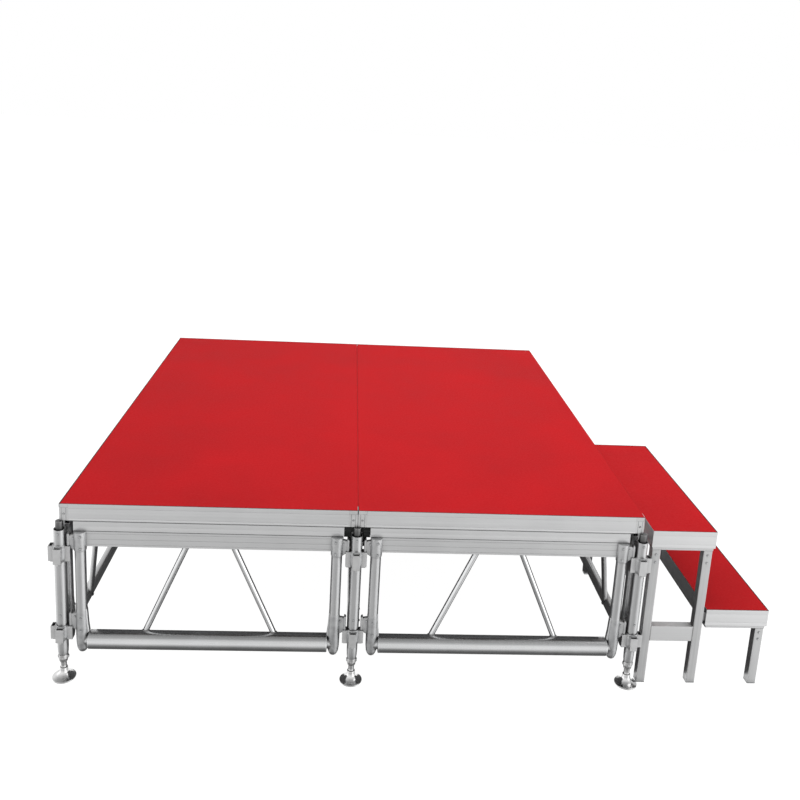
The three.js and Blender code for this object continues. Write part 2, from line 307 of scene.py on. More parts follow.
def extruded(name, dark, light, rough, streak=1.0):
    """Aluminium with die lines and paler streaks along the member, a painted highlight on sharp edges,
    painted shade in corners.
    """
    p = material(name)
    fine = p.noise(p.grain(2.5, 420), detail=3)
    band = p.noise(p.grain(0.7, 120), detail=2)
    cloud = p.noise(p.place(), 5, 4)
    marks = p.spread(p.noise(p.grain(14, 700), detail=2, rough=0.7), 0.66, 0.74)
    streaks = p.spread(band, 0.3, 0.7, 0, 0.5 * streak)
    tone = p.maths("ADD", streaks, p.spread(fine, 0.3, 0.7, 0, 0.3))
    tone = p.maths("ADD", tone, p.spread(cloud, 0.35, 0.65, 0, 0.25))
    colour = p.mix(tone, grey(dark, 0.012), grey(light, 0.008))
    colour = p.mix(p.maths("MULTIPLY", marks, 0.35), colour, grey(min(light * 1.25, 0.95)))
    # painted highlight: colour paler on sharp edges
    colour = p.mix(p.maths("MULTIPLY", p.edge(), 0.5), colour, grey(min(light * 1.2, 0.95)))
    # painted shade: colour darkened towards near black where ambient occlusion finds surfaces close by
    shade = p.spread(p.crevice_shade(0.03), 0.25, 0.95, 0.55, 0)
    colour = p.mix(shade, colour, (0.055, 0.055, 0.058, 1))
    base = p.spread(fine, 0.3, 0.7, rough - 0.06, rough + 0.06)
    roughness = p.maths("ADD", base, p.spread(cloud, 0.3, 0.7, -0.05, 0.07))
    roughness = p.maths("ADD", roughness, p.maths("MULTIPLY", marks, 0.08))
    lines = p.bump(fine, 0.22, 0.0003)
    dents = p.bump(p.noise(p.place(), 60, 3), 0.10, 0.0012, lines)
    p.set(Base_Color=colour, Metallic=1.0, Roughness=roughness, Normal=dents)
    return p.owner


def cast(name, dark, light, rough):
    """Sand-cast aluminium: pebbled skin, blotches, a painted highlight on sharp edges and painted shade in
    crevices.
    """
    p = material(name)
    blotch = p.noise(p.place(), 38, 5)
    skin = p.noise(p.place(), 620, 3)
    cloud = p.noise(p.place(), 9, 3)
    patches = p.spread(blotch, 0.32, 0.68, 0, 0.7)
    tone = p.maths("ADD", patches, p.spread(skin, 0.3, 0.7, -0.1, 0.3))
    colour = p.mix(tone, grey(dark, 0.012), grey(light, 0.01))
    # painted highlight: colour paler on sharp edges
    colour = p.mix(p.maths("MULTIPLY", p.edge(), 0.7), colour, grey(min(light * 1.3, 0.95)))
    # painted shade: colour darkened towards near black where ambient occlusion finds surfaces close by
    shade = p.spread(p.crevice_shade(0.025), 0.2, 0.95, 0.65, 0)
    colour = p.mix(shade, colour, (0.045, 0.045, 0.048, 1))
    base = p.spread(blotch, 0.3, 0.7, rough - 0.08, rough + 0.08)
    roughness = p.maths("ADD", base, p.spread(cloud, 0.3, 0.7, -0.05, 0.05))
    bumps = p.bump(blotch, 0.25, 0.0015, p.bump(skin, 0.35, 0.0006))
    p.set(Base_Color=colour, Metallic=1.0, Roughness=roughness, Normal=bumps)
    return p.owner


def plated(name, dark, light, rough, tint=0.0):
    """Plated steel: faint spangle, smudges and small scratches."""
    p = material(name)
    cell = p.node("ShaderNodeTexVoronoi", "Distance", {"Vector": p.place(), "Scale": 170.0})
    smudge = p.noise(p.place(), 26, 5, 0.6, 0.4)
    scratch = p.spread(p.noise(p.grain(60, 900), detail=2), 0.64, 0.72)
    colour = p.mix(p.spread(smudge, 0.3, 0.7), grey(dark, tint), grey(light, tint))
    spangle = p.maths("MULTIPLY", p.spread(cell, 0.2, 0.7), 0.12)
    colour = p.mix(spangle, colour, grey(light * 1.1, tint))
    # painted highlight: colour near white on sharp edges
    colour = p.mix(p.maths("MULTIPLY", p.edge(), 0.5), colour, grey(0.93))
    # painted shade: colour darkened towards near black where ambient occlusion finds surfaces close by
    shade = p.spread(p.crevice_shade(0.015), 0.2, 0.9, 0.6, 0)
    colour = p.mix(shade, colour, (0.03, 0.03, 0.032, 1))
    base = p.spread(smudge, 0.3, 0.7, rough * 0.7, rough * 1.35)
    roughness = p.maths("ADD", base, p.maths("MULTIPLY", scratch, 0.15))
    uneven = p.bump(p.noise(p.place(), 240, 2), 0.08, 0.0006)
    p.set(Base_Color=colour, Metallic=1.0, Roughness=roughness, Normal=uneven)
    return p.owner


def red_laminate():
    """Red anti-slip face: fine pebble, soft mottling, darker specks and a few scuffs."""
    p = material("red_anti_slip")
    pebble = p.noise(p.place(), 560, 2, 0.5)
    mottle = p.noise(p.place(), 2.2, 5, 0.6)
    speck = p.noise(p.place(), 95, 4, 0.65)
    stretched = p.node("ShaderNodeMapping", inputs={"Vector": p.place(), "Scale": (4.0, 60.0, 4.0)})
    scuff = p.spread(p.noise(stretched, 1, 4, 0.6, 0.6), 0.66, 0.76)
    deep, plain = (0.435, 0.0070, 0.0101, 1), (0.518, 0.0102, 0.0139, 1)
    colour = p.mix(p.spread(mottle, 0.3, 0.7), deep, plain)
    colour = p.mix(p.spread(speck, 0.35, 0.75, 0, 0.35), colour, (0.370, 0.0056, 0.0083, 1))
    colour = p.mix(p.spread(pebble, 0.55, 0.8, 0, 0.3), colour, (0.555, 0.0185, 0.0220, 1))
    colour = p.mix(p.maths("MULTIPLY", scuff, 0.16), colour, (0.555, 0.055, 0.057, 1))
    base = p.spread(mottle, 0.3, 0.7, 0.62, 0.74)
    roughness = p.maths("ADD", base, p.spread(speck, 0.3, 0.7, -0.05, 0.08))
    grit = p.bump(pebble, 0.5, 0.0012)
    p.set(Base_Color=colour, Roughness=roughness, Normal=p.bump(speck, 0.12, 0.002, grit))
    p.shader.inputs["Specular IOR Level"].default_value = 0.05
    return p.owner


def plywood():
    """Dark film-faced plywood, as on the underside and the edges of a board."""
    p = material("film_faced_plywood")
    flat = p.node("ShaderNodeMapping", inputs={"Vector": p.place(), "Scale": (3.0, 60.0, 400.0)})
    fibre = p.noise(flat, 1, 4, 0.6, 0.5)
    cloud = p.noise(p.place(), 3, 4)
    mesh = p.node("ShaderNodeTexVoronoi", "Distance", {"Vector": p.place(), "Scale": 260.0})
    colour = p.mix(p.spread(fibre, 0.3, 0.7), (0.030, 0.015, 0.009, 1), (0.075, 0.038, 0.021, 1))
    colour = p.mix(p.spread(cloud, 0.3, 0.7, 0, 0.4), colour, (0.022, 0.016, 0.014, 1))
    base = p.spread(cloud, 0.3, 0.7, 0.38, 0.6)
    roughness = p.maths("ADD", base, p.spread(fibre, 0.3, 0.7, -0.04, 0.06))
    p.set(Base_Color=colour, Roughness=roughness, Normal=p.bump(mesh, 0.15, 0.0006))
    return p.owner


def plastic():
    """Moulded grey plastic of the feet caps."""
    p = material("grey_moulded_plastic")
    texture = p.noise(p.place(), 700, 2)
    dirt = p.noise(p.place(), 30, 4)
    colour = p.mix(p.spread(dirt, 0.35, 0.7), (0.30, 0.305, 0.31, 1), (0.17, 0.17, 0.172, 1))
    colour = p.mix(p.spread(texture, 0.4, 0.8, 0, 0.3), colour, (0.38, 0.385, 0.39, 1))
    roughness = p.spread(dirt, 0.3, 0.7, 0.5, 0.72)
    p.set(Base_Color=colour, Roughness=roughness, Normal=p.bump(texture, 0.25, 0.0004))
    return p.owner


def seal(name, dark, light):
    """Matte rubber or sealing strip, dusty in places."""
    p = material(name)
    dust = p.noise(p.grain(9, 160), detail=4)
    grain = p.noise(p.place(), 500, 2)
    colour = p.mix(p.spread(dust, 0.35, 0.7), dark, light)
    roughness = p.spread(dust, 0.3, 0.7, 0.7, 0.9)
    p.set(Base_Color=colour, Roughness=roughness, Normal=p.bump(grain, 0.2, 0.0004))
    p.shader.inputs["Specular IOR Level"].default_value = 0.10
    return p.owner


def weld_metal():
    """Rippled weld bead, sooty in places."""
    p = material("weld_bead")
    ripple = p.noise(p.place(), 420, 4, 0.7)
    soot = p.noise(p.place(), 60, 3)
    colour = p.mix(p.spread(soot, 0.35, 0.7), grey(0.50), grey(0.28, -0.01))
    roughness = p.spread(ripple, 0.3, 0.7, 0.3, 0.55)
    p.set(Base_Color=colour, Metallic=1.0, Roughness=roughness, Normal=p.bump(ripple, 0.4, 0.0008))
    return p.owner


FINISH = {
    "mill": extruded("mill_aluminium", 0.44, 0.66, 0.36),
    "band": extruded("satin_extrusion", 0.64, 0.80, 0.42, 0.8),
    "rail": extruded("rail_extrusion", 0.60, 0.74, 0.40, 0.8),
    "bright": extruded("bright_tube", 0.60, 0.82, 0.24, 1.2),
    "polished": extruded("polished_tube", 0.82, 0.95, 0.17, 1.0),
    "tread": extruded("tread_extrusion", 0.70, 0.84, 0.42, 0.8),
    "trim": seal("edge_seal", (0.030, 0.022, 0.022, 1), (0.085, 0.060, 0.060, 1)),
    "seam": seal("seam_seal", (0.400, 0.008, 0.010, 1), (0.500, 0.014, 0.017, 1)),
    # near-black blocks in the notch at the deck seam: painted shade
    "shade_pad": seal("painted_shade_pad", (0.014, 0.015, 0.015, 1), (0.040, 0.041, 0.041, 1)),
    # near-black steel for the pins at the leg tops: painted shade, as under the deck
    "dark": plated("painted_shade_steel", 0.04, 0.10, 0.40),
    # a darker copy of the bright tube finish for the long frames: painted shade
    "shaded_side_tube": extruded("painted_shade_tube", 0.34, 0.58, 0.28, 1.2),
    "cast": cast("cast_aluminium", 0.42, 0.66, 0.45),
    "steel": plated("plated_steel", 0.40, 0.66, 0.26),
    "chrome": plated("foot_chrome", 0.72, 0.88, 0.10),
    "bolt": plated("bolt_zinc", 0.34, 0.60, 0.30, 0.02),
    "red": red_laminate(),
    "ply": plywood(),
    "plastic": plastic(),
    "weld": weld_metal(),
}


# ---------------------------------------------------------------- pieces
class Piece:
    """Gathers shapes into one mesh that rides on a body and stands for some CAD nodes."""

    def __init__(self, name):
        self.name, self.points, self.faces, self.grain, self.marks = name, [], [], [], []
        self.used, self.count = [], 0

    def add(self, made, finish="mill", place=None):
        for points, faces, grain in made if isinstance(made, list) else [made]:
            if place is not None:
                points = moved((points, faces, grain), place)[0]
            if finish not in self.used:
                self.used.append(finish)
            self.points.append(points)
            self.grain.append(grain + np.array([rng.uniform(0, 40) for _ in range(3)]))
            self.faces += [tuple(i + self.count for i in f) for f in faces]
            self.marks += [self.used.index(finish)] * len(faces)
            self.count += len(points)
        return self

    def build(self, body, slot, replaces=(), sharp=32):
        mesh = bpy.data.meshes.new(self.name)
        mesh.from_pydata(np.concatenate(self.points).tolist(), [], self.faces)
        mesh.polygons.foreach_set("material_index", self.marks)
        for finish in self.used:
            mesh.materials.append(FINISH[finish])
        attribute = mesh.attributes.new("grain", "FLOAT_VECTOR", "POINT")
        attribute.data.foreach_set("vector", np.concatenate(self.grain).astype(np.float32).ravel())
        work = bmesh.new()
        work.from_mesh(mesh)
        bmesh.ops.recalc_face_normals(work, faces=work.faces)
        work.to_mesh(mesh)
        work.free()
        mesh.polygons.foreach_set("use_smooth", [True] * len(mesh.polygons))
        mesh.set_sharp_from_angle(angle=math.radians(sharp))
        piece = bpy.data.objects.new(self.name, mesh)
        SCENE.collection.objects.link(piece)
        weights = piece.modifiers.new("weighted_normals", "WEIGHTED_NORMAL")
        weights.keep_sharp = True
        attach(piece, body)
        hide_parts(*replaces)
        return piece


def centre(node):
    lo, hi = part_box(node)
    return (lo + hi) / 2


def leg_axis(leg):
    c = centre(f"leg_{leg}_spindle")
    return Vector((c.x, c.y, 0))


# ---------------------------------------------------------------- legs
TUBE_R, LOWER_R, PIN_R = 0.024, 0.0225, 0.016
POCKETS = [(0.190, 0.250), (0.550, 0.618)]
TUBE_TOP, TUBE_LOW, PIN_TOP = 0.690, 0.113, 0.7247
SCREW_R, FOOT_R = 0.0125, 0.049


def pocket(z0, z1):
    """One cast pocket at +X of a leg: walls round an open slot, a back and a rib under it."""
    root, slot_in, slot_out, reach, w, s = 0.020, 0.0302, 0.0412, 0.0450, 0.0160, 0.0117
    outline = [(root, -w), (reach, -w), (reach, w), (root, w),
               (root, s), (slot_out, s), (slot_out, -s), (root, -s)]
    walls = prism(rounded(outline, 0.0015, 2), z0, z1, 0.0012)
    side = s + 0.001
    back = prism(rectangle(0.018, slot_in, -side, side, 0.001, 2), z0, z1, 0.001)
    rib = block("x", (0.020, -0.0035, z0 - 0.010), (0.0405, 0.0035, z0 + 0.004), 0.002)
    return [walls, back, rib]


def leg_tube(piece, at):
    """A leg's sleeve and lower tube, its cast pockets, and the pin at its top."""
    middle = Matrix.Translation(at)
    sleeve = [(0.0205, 0.262), (TUBE_R, 0.262), (TUBE_R, TUBE_TOP), (0.0208, TUBE_TOP)]
    piece.add(lathe(rounded(sleeve, 0.0009, 2), 48, closed=True), "mill", middle)
    lower = [(0.0132, TUBE_LOW), (0.0195, TUBE_LOW), (0.0212, TUBE_LOW + 0.012), (LOWER_R, 0.150),
             (LOWER_R, 0.200), (0.0208, 0.275), (0.0132, 0.275)]
    piece.add(lathe(rounded(lower, 0.0015, 2), 48, closed=True), "mill", middle)
    for z0, z1 in POCKETS:
        flare = [(0.0215, z0 - 0.004), (0.0262, z0 - 0.002), (0.0300, z0 + 0.012),
                 (0.0300, z1 - 0.010), (0.0265, z1 - 0.001), (0.0245, z1 + 0.004),
                 (0.0225, z1 + 0.004)]
        piece.add(lathe(rounded(flare, 0.003, 3), 48, closed=True), "cast", middle)
        for turn in (0, 90, 180, 270):
            piece.add(pocket(z0, z1), "cast", middle @ spin(turn))
    pin = [(0, 0.645), (0.0207, 0.645), (0.0207, 0.662), (PIN_R, 0.664), (PIN_R, PIN_TOP), (0, PIN_TOP)]
    # the pin takes the near-black finish as painted shade under the deck
    piece.add(lathe(rounded(pin, 0.0018, 2, closed=False), 40), "dark", middle)
    for z in (0.6750, 0.305):
        for side in (-1, 1):
            spot = Vector(at) + Vector((0, side * (TUBE_R - 0.0008), z))
            piece.add(bolt(spot, (0, side, 0), 0.0042), "bolt")


def jack_nut(piece, at):
    """The collar nut under a leg, with an ear to each side."""
    top, low = TUBE_LOW - 0.0003, 0.078
    body = [(0.0137, low), (0.0162, low), (0.0180, low + 0.010), (0.0200, low + 0.016),
            (0.0200, top), (0.0137, top)]
    piece.add(lathe(rounded(body, 0.0014, 2), 40, closed=True), "steel", Matrix.Translation(at))
    for turn in (0, 90, 180, 270):
        ear = block("z", (0.016, -0.0055, low + 0.0165), (0.0229, 0.0055, low + 0.0295), 0.0022)
        piece.add(ear, "steel", Matrix.Translation(at) @ spin(turn))


def jack_screw(piece, at):
    """The spindle, its thread cut as a helix over the length that shows at any setting."""
    z0, z1, pitch, depth, sides = 0.0245, 0.290, 0.006, 0.0013, 28
    thread_low, thread_top = 0.052, 0.285
    rings = [(z0, 0), (z0, 0.0115), (0.050, 0.0115)]
    for k in range(int((thread_top - thread_low) / pitch)):
        for share, dip in ((0.00, 0), (0.22, depth), (0.5, depth), (0.72, 0)):
            rings.append((thread_low + (k + share) * pitch, SCREW_R - dip))
    rings += [(z1 - 0.002, SCREW_R - depth), (z1, 0.008), (z1, 0)]
    points, faces = [], []
    for z, r in rings:
        base = len(points)
        threaded = thread_low < z < thread_top - 0.001
        for i in range(sides):
            a = 2 * math.pi * i / sides
            climb = pitch * i / sides if threaded else 0
            points.append((r * math.cos(a), r * math.sin(a), z + climb))
        if base:
            for i in range(sides):
                j = (i + 1) % sides
                faces.append((base - sides + i, base - sides + j, base + j, base + i))
    piece.add(shape(points, faces), "steel", Matrix.Translation(at))


def foot_plate(piece, at):
    """The dished foot plate and the neck that holds the spindle."""
    dish = [(0, 0), (FOOT_R - 0.002, 0), (FOOT_R, 0.002), (FOOT_R, 0.0052), (FOOT_R - 0.004, 0.0072),
            (0.040, 0.0092), (0.030, 0.0145), (0.0235, 0.0205), (0.0185, 0.028), (0.0170, 0.036),
            (0.0165, 0.0485), (0.0155, 0.050), (0.0129, 0.050), (0.0129, 0.0240), (0, 0.0240)]
    piece.add(lathe(rounded(dish, 0.003, 3, closed=False), 56), "chrome", Matrix.Translation(at))


LEGS = [n[4:-5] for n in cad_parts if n.startswith("leg_") and n.endswith("_post")]
for leg in LEGS:
    axis = leg_axis(leg)
    tube = Piece(f"leg_{leg}_tube")
    leg_tube(tube, axis)
    tube.build("substructure", "mill_aluminium", [f"leg_{leg}_post"])
    for part, make, slot in (("jack_nut", jack_nut, "cast_steel"),
                             ("spindle", jack_screw, "cast_steel"),
                             ("foot", foot_plate, "foot_chrome")):
        piece = Piece(f"{part}_{leg}")
        make(piece, axis)
        body = f"jack_nut_{leg}" if part == "jack_nut" else f"jack_foot_{leg}"
        piece.build(body, slot, [f"leg_{leg}_{part}"])


# ---------------------------------------------------------------- truss frames
POST_AT, POST_R, POST_LOW, SLEEVE_R = 0.082, 0.0225, 0.130, 0.0256
RAIL_LOW, RAIL_TOP, RAIL_WALL = 0.613, 0.680, 0.0035
RAIL_GROOVES, GROOVE_DIP = [(0.6215, 0.6230), (0.6440, 0.6455), (0.6690, 0.6705)], 0.0008
# the long frames' chord is a thinner, plain tube
CHORD_Z, CHORD_R, LONG_CHORD_R = 0.182, 0.039, 0.024
BRACE_R, BRACE_FOOT, BRACE_HEAD = 0.0125, 0.279, 0.089
HOOKS = [(0.200, 0.250, 0.312), (0.560, 0.618, 0.672)]


def end_post(piece, place):
    """One end of a frame: post, sleeves and the two hooks towards a leg at -X."""
    piece.add(pipe(POST_R, 0.0195, 0.150, 0.640, sides=44), "mill", place)
    upper = [(0.0215, 0.597), (0.0248, 0.597), (0.0255, 0.602), (0.0255, RAIL_TOP), (0.0215, RAIL_TOP)]
    piece.add(lathe(rounded(upper, 0.0012, 2), 44, closed=True), "cast", place)
    piece.add(rod(0.0222, 0.664, RAIL_TOP - 0.001, 0.001, 40), "cast", place)
    lower = [(0, POST_LOW), (0.0135, POST_LOW), (0.0180, 0.138), (0.0225, 0.150), (0.0250, 0.176),
             (0.0256, 0.226), (0.0250, 0.268), (0.0236, 0.306), (0.0230, 0.322), (0.0215, 0.323),
             (0, 0.323)]
    piece.add(lathe(rounded(lower, 0.004, 3, closed=False), 44), "cast", place)
    web = [(0.330, 0.010), (0.330, 0.0225), (0.262, 0.0265), (0.222, 0.0310), (0.200, 0.010)]
    piece.add(moved(prism(rounded(web, 0.004, 3), -0.0125, 0.0125, 0.004), TO_Y), "cast", place)
    for tip, rest, top in HOOKS:
        x0, x1 = 0.0312 - POST_AT, 0.0404 - POST_AT
        tongue = [(tip, x0 + 0.002), (tip, x1 - 0.002), (tip + 0.008, x1), (top, x1),
                  (top, x0 + 0.003), (top - 0.006, x0), (tip + 0.008, x0)]
        flat = prism(rounded(tongue, 0.002, 2), -0.011, 0.011, 0.0012)
        piece.add(moved(flat, TO_Y), "cast", place)
        arm = [(rest + 0.0004, x1 - 0.003), (rest - 0.012, x1 + 0.004), (rest - 0.026, -0.016),
               (top - 0.002, -0.012), (top - 0.008, x1 - 0.003)]
        flat = prism(rounded(arm, 0.003, 3), -0.0085, 0.0085, 0.0025)
        piece.add(moved(flat, TO_Y), "cast", place)
        for side in (-1, 1):
            at = place @ Vector((-0.0262, side * 0.0083, top - 0.020))
            facing = place.to_3x3() @ Vector((0, side, 0))
            piece.add(bolt(at, facing, 0.0042), "bolt")
    for z in (0.612, 0.664):
        for side in (-1, 1):
            at = place @ Vector((0.006, side * 0.0246, z))
            piece.add(bolt(at, place.to_3x3() @ Vector((0, side, 0)), 0.0046), "bolt")
    for z in (0.236, 0.292):
        at = place @ Vector((0.0, -0.0262 if z < 0.25 else -0.0242, z))
        piece.add(bolt(at, place.to_3x3() @ Vector((0, -1, 0)), 0.0046), "bolt")


def chord_weld(piece, place, tube_r):
    """The bead where a tube of this radius along +X leaves the lower sleeve of an end post."""
    path = []
    for i in range(48):
        a = 2 * math.pi * i / 48
        y, z = tube_r * math.sin(a), tube_r * math.cos(a)
        path.append(Vector((math.sqrt(max(SLEEVE_R**2 - y * y, 0)), y, CHORD_Z + z)))
    piece.add(bead(path, 0.0022), "weld", place)


def brace(piece, place, foot, head, finish, chord_r):
    """A diagonal with a weld bead where it meets the chord and the rail."""
    axis = (head - foot).normalized()
    u = axis.orthogonal().normalized()
    v = axis.cross(u)
    low, high = [], []
    for i in range(36):
        a = 2 * math.pi * i / 36
        p = foot + (u * math.cos(a) + v * math.sin(a)) * BRACE_R
        y, z = p.y, p.z - CHORD_Z
        qa = axis.y**2 + axis.z**2
        qb = 2 * (y * axis.y + z * axis.z)
        qc = y * y + z * z - (chord_r + 0.0004) ** 2
        s = (-qb + math.sqrt(max(qb * qb - 4 * qa * qc, 0))) / (2 * qa)
        low.append(p + axis * s)
        high.append(p + axis * ((RAIL_LOW - 0.0006 - p.z) / axis.z))
    length = (head - foot).length
    piece.add(pipe(BRACE_R, 0.010, 0, length, sides=32), finish, place @ between(foot, head))
    piece.add(bead(low, 0.0030), "weld", place)
    piece.add(bead(high, 0.0026), "weld", place)


def truss(name, span, bays, y0, y1, place):
    """One truss frame along +X from a leg's axis, its rail between y0 and y1."""
    piece = Piece(name + "_truss")
    end_post(piece, place @ shift(x=POST_AT))
    end_post(piece, place @ shift(x=span - POST_AT) @ spin(180))
    # rail: a hollow box with three shallow grooves along each face
    roof = RAIL_TOP - 0.0003
    face = [(0, RAIL_LOW)]
    for low, high in RAIL_GROOVES:
        face += [(0, low), (GROOVE_DIP, (low + high) / 2), (0, high)]
    face.append((0, roof))
    heights = [min(max(z, RAIL_LOW + RAIL_WALL), roof - RAIL_WALL) for _, z in face]
    outer = [(y0 + d, z) for d, z in face] + [(y1 - d, z) for d, z in reversed(face)]
    inner = [(y0 + RAIL_WALL, z) for z in heights]
    inner += [(y1 - RAIL_WALL, z) for z in reversed(heights)]
    rail = hollow(outer, inner, POST_AT + 0.004, span - POST_AT - 0.004)
    piece.add(moved(rail, TO_X), "rail", place)
    # chord: swaged down to a neck at the posts in the short frames, plain in the long ones
    short = bays == 1
    # the long frames take the darker copy of the tube finish as painted shade
    tube, brace_finish = ("bright", "polished") if short else ("shaded_side_tube", "shaded_side_tube")
    chord_r, neck_r = (CHORD_R, 0.0236) if short else (LONG_CHORD_R, LONG_CHORD_R)
    chord = [(0, POST_AT), (neck_r, POST_AT), (neck_r, span - POST_AT), (0, span - POST_AT)]
    if short:
        steps = [(neck_r, 0.0), (neck_r, 0.0270), (0.0372, 0.0276), (CHORD_R, 0.0305)]
        chord = [(0, POST_AT)] + [(r, POST_AT + x) for r, x in steps]
        chord += [(r, span - POST_AT - x) for r, x in reversed(steps)] + [(0, span - POST_AT)]
        chord = rounded(chord, 0.0012, 2, closed=False)
    piece.add(moved(lathe(chord, 64), TO_X), tube, place @ shift(z=CHORD_Z))
    chord_weld(piece, place @ shift(x=POST_AT), neck_r)
    chord_weld(piece, place @ shift(x=span - POST_AT) @ spin(180), neck_r)
    middle_y = (y0 + y1) / 2
    for bay in range(bays):
        middle = (bay + 0.5) * span / bays
        for s in (-1, 1):
            foot = Vector((middle + s * BRACE_FOOT, middle_y, CHORD_Z + 0.012))
            head = Vector((middle + s * BRACE_HEAD, middle_y, RAIL_LOW + 0.020))
            brace(piece, place, foot, head, brace_finish, chord_r)
    piece.build("substructure", "mill_aluminium", [name])


BAY = leg_axis("front_middle").x - leg_axis("front_left").x
LENGTH = leg_axis("back_left").y - leg_axis("front_left").y
RAIL_OUT, RAIL_IN = -0.002, 0.034
for name, span, bays, rail_from, leg, turn in (
    ("frame_front_left", BAY, 1, RAIL_OUT, "front_left", 0),
    ("frame_front_right", BAY, 1, RAIL_OUT, "front_middle", 0),
    ("frame_back_left", BAY, 1, RAIL_OUT, "back_middle", 180),
    ("frame_back_right", BAY, 1, RAIL_OUT, "back_right", 180),
    ("frame_side_left", LENGTH, 2, RAIL_OUT, "back_left", -90),
    ("frame_side_middle", LENGTH, 2, -RAIL_IN, "back_middle", -90),  # under both panels' edges
    ("frame_side_right", LENGTH, 2, RAIL_OUT, "front_right", 90),
):
    truss(name, span, bays, rail_from, RAIL_IN, Matrix.Translation(leg_axis(leg)) @ spin(turn))


# ---------------------------------------------------------------- deck panels
DECK_TOP, BAND_LOW, SHELF, LIP, WALL = 0.800, 0.725, 0.7847, 0.002, 0.005
RIM = DECK_TOP - 0.0011  # the aluminium's top, under the sealing strip
SKIRT_TOP, SKIRT_LOW, SKIRT_D, CASTING, SKIRT_CUT = 0.722, 0.6803, 0.025, 0.038, 0.055
TAPE_W, TAPE_T = 0.0048, 0.0005


def notch(z, dip=0.0006, half=0.0012):
    """A shallow V groove in a face at depth 0, drawn downwards."""
    return [(0, z + half), (dip, z), (0, z - half)]


def edge_tape(piece, place, x0, x1, top):
    """Thin dark tape along X over a rim and the board's edge."""
    tape = block("x", (x0, 0.0003, top - 0.0001), (x1, TAPE_W, top + TAPE_T), 0.0002)
    piece.add(tape, "trim", place)


def edge_profile(piece, place, x0, x1, cut0, cut1, strip="trim"):
    """The aluminium edge along X: outer face at y = 0, panel at +Y. cut0, cut1 end its skirt."""
    outline = [(0.0006, RIM), (LIP, RIM), (LIP, SHELF), (CASTING, SHELF), (CASTING, SHELF - WALL),
               (WALL, SHELF - WALL), (WALL, BAND_LOW + WALL), (CASTING, BAND_LOW + WALL),
               (CASTING, BAND_LOW), (0.0008, BAND_LOW), (0, BAND_LOW + 0.0010)]
    outline += notch(0.735)[::-1] + notch(0.779)[::-1] + [(0, RIM - 0.0006)]
    piece.add(moved(prism(outline, x0, x1, 0.0003), TO_X), "band", place)
    reach = CASTING if x0 < CASTING else 0.0
    front = -0.0003 if strip == "seam" else 0.0003  # the two panels' strips all but touch at the seam
    ends = x0 - reach + 0.0013, x1 + reach - 0.0013
    piece.add(block("x", (ends[0], front, RIM), (ends[1], LIP, DECK_TOP), 0.0003), strip, place)
    # skirt: a hollow band with eased edges and one groove, joined to the edge above by a strip
    e, wall = 0.0008, 0.0025
    face = [(e, SKIRT_TOP), (SKIRT_D - e, SKIRT_TOP), (SKIRT_D, SKIRT_TOP - e), (SKIRT_D, SKIRT_LOW + e),
            (SKIRT_D - e, SKIRT_LOW), (e, SKIRT_LOW), (0, SKIRT_LOW + e)]
    face += notch(0.701, 0.0004)[::-1] + [(0, SKIRT_TOP - e)]
    low, high = SKIRT_LOW + wall, SKIRT_TOP - wall
    inside = [(min(max(y, wall), SKIRT_D - wall), min(max(z, low), high)) for y, z in face]
    piece.add(moved(hollow(face, inside, cut0, cut1), TO_X), "band", place)
    lo, hi = (cut0 + 0.0005, 0.0035, SKIRT_TOP - 0.001), (cut1 - 0.0005, SKIRT_D, BAND_LOW + 0.001)
    piece.add(block("x", lo, hi, 0.0006), "band", place)


def corner_casting(piece, place):
    """A corner block at +X, +Y of its outer corner, with ribs down both faces and a bolt."""
    ribs = [(0, 0.0015), (0.0015, 0)]
    for x in (0.008, 0.026):
        ribs += [(x, 0), (x + 0.0008, 0.0009), (x + 0.0022, 0.0009), (x + 0.003, 0)]
    ribs += [(CASTING - 0.0012, 0), (CASTING, 0.0012)]
    # known fault: the outline's last point repeats its first, so inset gives no place for either, and
    # four vertices of each casting have no finite position
    outline = ribs + [(CASTING, CASTING - 0.002), (CASTING - 0.002, CASTING)]
    outline += [(y, x) for x, y in reversed(ribs)][:-1]
    piece.add(prism(outline, BAND_LOW, SHELF, 0.0008), "cast", place)
    for far in ((LIP, CASTING, RIM), (CASTING, LIP, RIM)):
        piece.add(block("x", (0, 0, SHELF - 0.002), far, 0.0005), "cast", place)
    strip = block("y", (0.0003, LIP, RIM), (LIP, CASTING - 0.0002, DECK_TOP), 0.0004)
    piece.add(strip, "trim", place)
    turn = place.to_3x3()
    for at, facing in (((0.0185, 0.0012, 0.755), (0, -1, 0)), ((0.0012, 0.0185, 0.755), (-1, 0, 0))):
        piece.add(bolt(place @ Vector(at), turn @ Vector(facing), 0.0034), "bolt")
    boss = rod(0.0165, BAND_LOW - 0.0002, BAND_LOW + 0.004, 0.0005, 28)
    piece.add(boss, "cast", place @ shift(0.019, 0.019, 0))


def lay_board(piece, lo, hi):
    """A board between two corners: a thin red face on dark plywood."""
    piece.add(block("x", (lo.x, lo.y, hi.z - 0.0022), (hi.x, hi.y, hi.z), 0.0007), "red")
    a, b = (lo.x + 0.0002, lo.y + 0.0002, lo.z), (hi.x - 0.0002, hi.y - 0.0002, hi.z - 0.0021)
    piece.add(block("x", a, b, 0.0005), "ply")


# dark blocks behind the notch at the seam, painted shade where the notch lies in shadow: corners of three
# blocks, their x counted from the seam
SEAM_SHADE_PADS = [((0.0006, 0.018, 0.6925), (0.0280, 0.022, 0.7245)),
        ((0.0262, 0.0175, 0.6700), (0.0545, 0.0215, 0.7245)),
        ((0.0250, 0.0300, 0.6220), (0.0400, 0.0330, 0.7245))]


